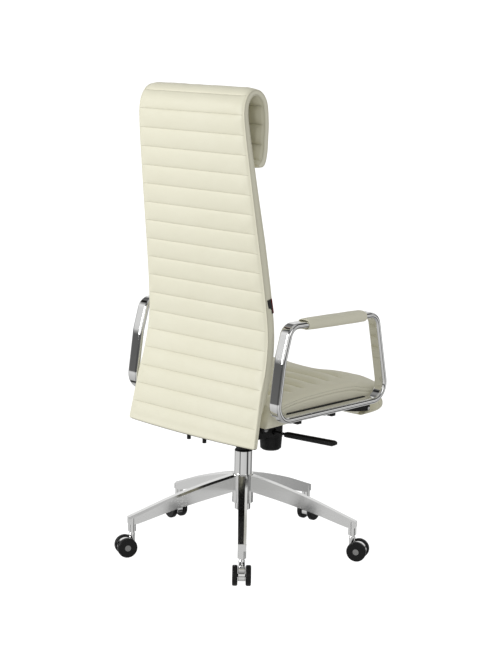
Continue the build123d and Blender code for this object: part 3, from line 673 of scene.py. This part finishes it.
def arm_sleeve(side):
    """Leather sleeve around an arm's upper bar, open at both ends, with a seam along the underside."""
    wide, tall = 0.023, 0.0155
    turns = np.linspace(0, 2 * math.pi, 56, endpoint=False)
    stations = []
    for share in np.linspace(-1, 1, 61):
        swell = 1 - 0.05 * max(share, 0) ** 3 - 0.02 * abs(share) ** 6 + 0.008 * math.sin(9 * share + 1)
        stations.append((share * (SLEEVE_REACH - 0.004), swell, 0.0))
    lip = [(SLEEVE_REACH - 0.0015, 0.91, 0.0), (SLEEVE_REACH, 0.84, 0.0),
           (SLEEVE_REACH - 0.001, 0.0, 0.55), (SLEEVE_REACH - 0.007, 0.0, 0.2),
           (SLEEVE_REACH - 0.012, 0.0, 0.0)]
    stations = [(-y, swell, gap) for y, swell, gap in lip[::-1]] + stations + lip
    middle = ARM_X if side == "left" else -ARM_X
    rings = []
    for y, swell, gap in stations:
        ring = []
        for turn in turns:
            c, s = math.cos(turn), math.sin(turn)
            px = math.copysign(abs(c) ** 0.72, c) * wide
            pz = math.copysign(abs(s) ** 0.80, s) * tall
            tube_x = math.copysign(abs(c) ** 0.5, c) * TUBE_HALF[0]
            tube_z = math.copysign(abs(s) ** 0.5, s) * TUBE_HALF[1]
            if swell:
                seam = 1 - 0.10 * math.exp(-((turn - 1.5 * math.pi) / 0.07) ** 2)
                across, rise = px * swell, pz * swell * seam
            else:
                across = tube_x + (px * 0.84 - tube_x) * gap
                rise = tube_z + (pz * 0.84 - tube_z) * gap
            ring.append((middle + across, SLEEVE_CENTRE[0] + y,
                         SLEEVE_CENTRE[1] + y * ARM_SLOPE + rise))
        rings.append(ring)
    rings = np.array(rings)
    piece = torus_skin(f"arm_sleeve_{side}", rings)
    seam = [point + np.array([0, 0, -0.0003]) for point in rings[6:-6, 42]]
    return piece, [seam]


def torus_skin(name, rings):
    """A closed quad mesh whose last ring joins its first."""
    count, around, _ = rings.shape
    faces = []
    for row in range(count):
        after_row = (row + 1) % count
        for step in range(around):
            after = (step + 1) % around
            faces.append((row * around + step, row * around + after,
                          after_row * around + after, after_row * around + step))
    return new_piece(name, rings.reshape(-1, 3).tolist(), faces, LEATHER)


# ---- stitches and label --------------------------------------------------------------------

def stitch_tree():
    """Short threads laid end to end along every path of the incoming mesh."""
    tree = bpy.data.node_groups.new("stitch_rows", "GeometryNodeTree")
    face = tree.interface
    face.new_socket("Paths", in_out="INPUT", socket_type="NodeSocketGeometry")
    for label, value in (("Pitch", 0.005), ("Thread Radius", 0.0004), ("Thread Length", 0.0036),
                         ("Slant", 0.1)):
        face.new_socket(label, in_out="INPUT", socket_type="NodeSocketFloat").default_value = value
    face.new_socket("Seed", in_out="INPUT", socket_type="NodeSocketInt").default_value = 7
    face.new_socket("Finish", in_out="INPUT", socket_type="NodeSocketMaterial")
    face.new_socket("Stitches", in_out="OUTPUT", socket_type="NodeSocketGeometry")
    node, link = tree.nodes.new, tree.links.new
    entry, exit_ = node("NodeGroupInput"), node("NodeGroupOutput")
    curve = node("GeometryNodeMeshToCurve")
    link(entry.outputs["Paths"], curve.inputs["Mesh"])
    spread = node("GeometryNodeCurveToPoints")
    spread.mode = "LENGTH"
    link(curve.outputs[0], spread.inputs["Curve"])
    link(entry.outputs["Pitch"], spread.inputs["Length"])
    thread_mesh = node("GeometryNodeMeshCylinder")
    thread_mesh.inputs["Vertices"].default_value = 6
    link(entry.outputs["Thread Radius"], thread_mesh.inputs["Radius"])
    link(entry.outputs["Thread Length"], thread_mesh.inputs["Depth"])
    jitter = node("FunctionNodeRandomValue")
    jitter.data_type = "FLOAT_VECTOR"
    jitter.inputs[0].default_value = (-1, -1, -1)
    jitter.inputs[1].default_value = (1, 1, 1)
    link(entry.outputs["Seed"], jitter.inputs["Seed"])
    scaled = node("ShaderNodeVectorMath")
    scaled.operation = "SCALE"
    link(jitter.outputs[0], scaled.inputs[0])
    link(entry.outputs["Slant"], scaled.inputs["Scale"])
    place = node("GeometryNodeInstanceOnPoints")
    link(spread.outputs["Points"], place.inputs["Points"])
    link(thread_mesh.outputs["Mesh"], place.inputs["Instance"])
    link(spread.outputs["Rotation"], place.inputs["Rotation"])
    lean = node("GeometryNodeRotateInstances")
    link(place.outputs[0], lean.inputs["Instances"])
    link(scaled.outputs[0], lean.inputs["Rotation"])
    solid = node("GeometryNodeRealizeInstances")
    link(lean.outputs[0], solid.inputs[0])
    finish = node("GeometryNodeSetMaterial")
    link(solid.outputs[0], finish.inputs["Geometry"])
    link(entry.outputs["Finish"], finish.inputs["Material"])
    link(finish.outputs[0], exit_.inputs["Stitches"])
    return tree


def stitching(paths):
    """One plain mesh with the thread of every seam."""
    verts, edges = [], []
    for path in paths:
        start = len(verts)
        verts += [tuple(map(float, point)) for point in path]
        edges += [(index, index + 1) for index in range(start, len(verts) - 1)]
    guide = bpy.data.meshes.new("stitch_paths")
    guide.from_pydata(verts, edges, [])
    holder = bpy.data.objects.new("stitch_paths", guide)
    bpy.context.scene.collection.objects.link(holder)
    tree = stitch_tree()
    sewing = holder.modifiers.new("stitch_rows", "NODES")
    sewing.node_group = tree
    # The thread finish also carries the painted shade of the seams
    values = {"Pitch": STITCH_PITCH, "Thread Radius": THREAD_RADIUS, "Thread Length": THREAD_LENGTH,
              "Slant": 0.10, "Seed": 7, "Finish": SEAM_SHADE_THREAD}
    for item in tree.interface.items_tree:
        if item.in_out == "INPUT" and item.name in values:
            sewing[item.identifier] = values[item.name]
    ready = holder.evaluated_get(bpy.context.evaluated_depsgraph_get())
    mesh = bpy.data.meshes.new_from_object(ready)
    mesh.name = "stitching"
    holder.modifiers.remove(sewing)
    bpy.data.objects.remove(holder)
    bpy.data.node_groups.remove(tree)
    piece = bpy.data.objects.new("stitching", mesh)
    bpy.context.scene.collection.objects.link(piece)
    return piece


def side_label():
    """A small folded label caught in the side seam, built as one thin flat slab with rounded edges."""
    tilt = math.radians(LABEL_TILT_DEG)
    around = 24
    half_x, half_y, half_z = LABEL_HALF
    rings = []
    for z in (-half_z, -half_z + 0.0002, half_z - 0.0002, half_z):
        ring = []
        squeeze = 0.7 if abs(z) > half_z - 0.0001 else 1.0
        for turn in np.linspace(0, 2 * math.pi, around, endpoint=False):
            c, s = math.cos(turn), math.sin(turn)
            x = math.copysign(abs(c) ** 0.6, c) * half_x * squeeze
            y = math.copysign(abs(s) ** 0.2, s) * half_y
            ring.append((LABEL_CENTRE[0] + x,
                         LABEL_CENTRE[1] + y * math.cos(tilt) - z * math.sin(tilt),
                         LABEL_CENTRE[2] + y * math.sin(tilt) + z * math.cos(tilt)))
        rings.append(ring)
    count = len(rings)
    faces = [(row * around + step, row * around + (step + 1) % around,
              (row + 1) * around + (step + 1) % around, (row + 1) * around + step)
             for row in range(count - 1) for step in range(around)]
    faces.append(list(range(around))[::-1])
    faces.append([(count - 1) * around + step for step in range(around)])
    points = [tuple(point) for ring in rings for point in ring]
    return new_piece("side_label", points, faces, LABEL, smooth=False)


# ---- studio --------------------------------------------------------------------------------

def studio():
    """White surround, a darker graded room that only shows in gloss, and soft lamps."""
    bpy.context.scene.view_settings.view_transform = "Standard"
    world = bpy.data.worlds.new("studio_surround")
    bpy.context.scene.world = world
    world.use_nodes = True
    tree = world.node_tree
    background = tree.nodes["Background"]
    ways = tree.nodes.new("ShaderNodeTexCoord")
    split = tree.nodes.new("ShaderNodeSeparateXYZ")
    tree.links.new(ways.outputs["Generated"], split.inputs[0])
    aside = tree.nodes.new("ShaderNodeVectorMath")
    aside.operation = "DOT_PRODUCT"
    aside.inputs[1].default_value = (-0.72, -0.69, 0)
    tree.links.new(ways.outputs["Generated"], aside.inputs[0])
    shares = []
    for source in (split.outputs["Z"], aside.outputs["Value"]):
        share = tree.nodes.new("ShaderNodeMapRange")
        share.inputs["From Min"].default_value = -1
        tree.links.new(source, share.inputs["Value"])
        shares.append(share.outputs["Result"])
    bands = (
        (shares[0], [(0.0, 0.40), (0.25, 0.60), (0.44, 0.78), (0.485, 0.16), (0.52, 0.10),
                     (0.56, 0.75), (0.72, 0.95), (0.82, 0.08), (1.0, 0.6)]),
        (shares[1], [(0.0, 0.95), (0.13, 0.95), (0.155, 0.05), (0.19, 0.05), (0.24, 1.0),
                     (0.80, 0.9), (0.88, 0.05), (0.93, 0.05), (0.96, 0.9), (1.0, 0.95)]),
    )
    tones = []
    for value, stops in bands:
        graded = tree.nodes.new("ShaderNodeValToRGB")
        tree.links.new(value, graded.inputs[0])
        ramp = graded.color_ramp
        ramp.elements[0].position, ramp.elements[0].color = stops[0][0], (*[stops[0][1]] * 3, 1)
        ramp.elements[1].position, ramp.elements[1].color = stops[-1][0], (*[stops[-1][1]] * 3, 1)
        for place, tone in stops[1:-1]:
            ramp.elements.new(place).color = (tone, tone, tone, 1)
        tones.append(graded.outputs[0])
    room = tree.nodes.new("ShaderNodeMix")
    room.data_type, room.blend_type = "RGBA", "MULTIPLY"
    room.inputs[0].default_value = 1
    tree.links.new(tones[0], room.inputs[6])
    tree.links.new(tones[1], room.inputs[7])
    path = tree.nodes.new("ShaderNodeLightPath")
    seen = (0.52, 0.52, 0.52, 1)
    for output, shown in (("Is Glossy Ray", room.outputs[2]), ("Is Camera Ray", (1.15, 1.15, 1.15, 1))):
        choose = tree.nodes.new("ShaderNodeMix")
        choose.data_type = "RGBA"
        choose.clamp_result = False
        tree.links.new(path.outputs[output], choose.inputs[0])
        for socket, value in ((choose.inputs[6], seen), (choose.inputs[7], shown)):
            if isinstance(value, tuple):
                socket.default_value = value
            else:
                tree.links.new(value, socket)
        seen = choose.outputs[2]
    tree.links.new(seen, background.inputs["Color"])
    background.inputs["Strength"].default_value = 1.0
    for name, place, size, power in (("key_light", (1.6, 3.6, 1.7), 1.8, 84),
                                     ("side_light", (-3.6, 0.6, 2.2), 2.0, 10)):
        lamp = bpy.data.lights.new(name, "AREA")
        lamp.size = size
        lamp.energy = power
        holder = bpy.data.objects.new(name, lamp)
        holder.location = place
        aim = Vector((0, 0, 0.8)) - holder.location
        holder.rotation_euler = aim.to_track_quat("-Z", "Y").to_euler()
        bpy.context.scene.collection.objects.link(holder)


def camera():
    """Long lens from behind the sitter's right shoulder, at chest height, rolled one degree."""
    eye = Vector((-3.1745, 3.3033, 1.4811))
    target = Vector((0, 0, 0.6071))
    forward = (target - eye).normalized()
    right = forward.cross(Vector((0, 0, 1))).normalized()
    up = right.cross(forward)
    roll = math.radians(1.025)
    turned_right = math.cos(roll) * right + math.sin(roll) * up
    turned_up = -math.sin(roll) * right + math.cos(roll) * up
    lens = bpy.data.cameras.new("view_camera")
    lens.sensor_width = 36
    lens.lens = 91.06
    lens.shift_x = 0.0081
    lens.clip_end = 60
    holder = bpy.data.objects.new("view_camera", lens)
    axes = Matrix((turned_right, turned_up, -forward)).transposed()
    holder.matrix_world = Matrix.Translation(eye) @ axes.to_4x4()
    bpy.context.scene.collection.objects.link(holder)
    bpy.context.scene.camera = holder


# ---- assembly ------------------------------------------------------------------------------

finish_frame_nodes()

back, seams = back_upholstery()
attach(back, "seat_unit")
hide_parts("back_rear_pad", "back_front_pad", "headrest_roll")

seat, seat_seams = seat_upholstery()
seams += seat_seams
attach(seat, "seat_unit")
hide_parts("seat_cushion")

for side in ("right", "left"):
    sleeve, sleeve_seams = arm_sleeve(side)
    seams += sleeve_seams
    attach(sleeve, "seat_unit")
    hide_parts(f"arm_pad_{side}")

label = side_label()
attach(label, "seat_unit")
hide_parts("side_tag")

sewn = stitching(seams)
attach(sewn, "seat_unit")

studio()
camera()
